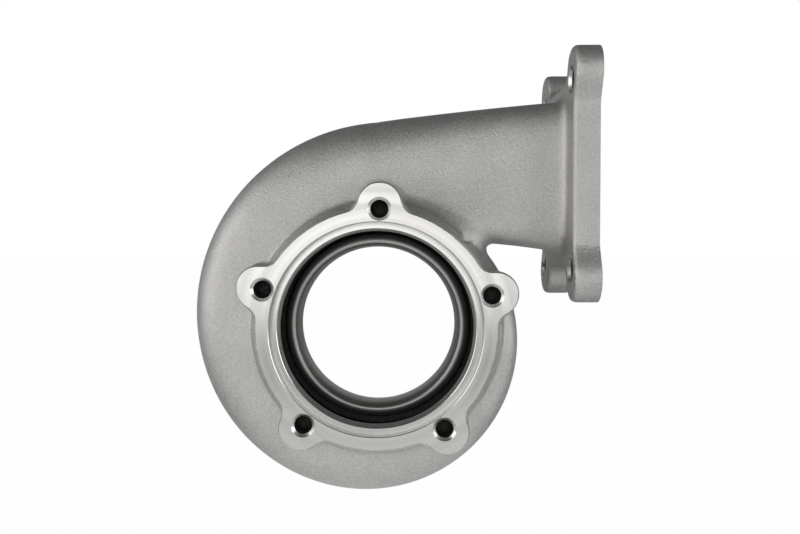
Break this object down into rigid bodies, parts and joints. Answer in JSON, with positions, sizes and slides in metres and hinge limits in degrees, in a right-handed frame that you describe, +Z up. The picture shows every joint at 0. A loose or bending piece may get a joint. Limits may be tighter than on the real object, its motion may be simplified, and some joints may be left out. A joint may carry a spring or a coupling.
{
  "type": "turbocharger turbine housing",
  "caption": "Cast scroll housing for a turbocharger's turbine wheel, with a rectangular inlet flange, a bolted register face and a clamped round outlet.",
  "frame": {"origin": "on the wheel axis, in the plane of the face that bolts to the centre housing", "axes": "+Y along the wheel axis towards the exhaust outlet, +X out of the inlet flange, +Z up"},
  "size_m": [0.1851, 0.092, 0.2043],
  "materials": {
    "cast_steel": "shot-blasted cast stainless steel with turned faces"
  },
  "bodies": {
    "root": {"turbine_housing": "cast_steel"}
  },
  "joints": []
}
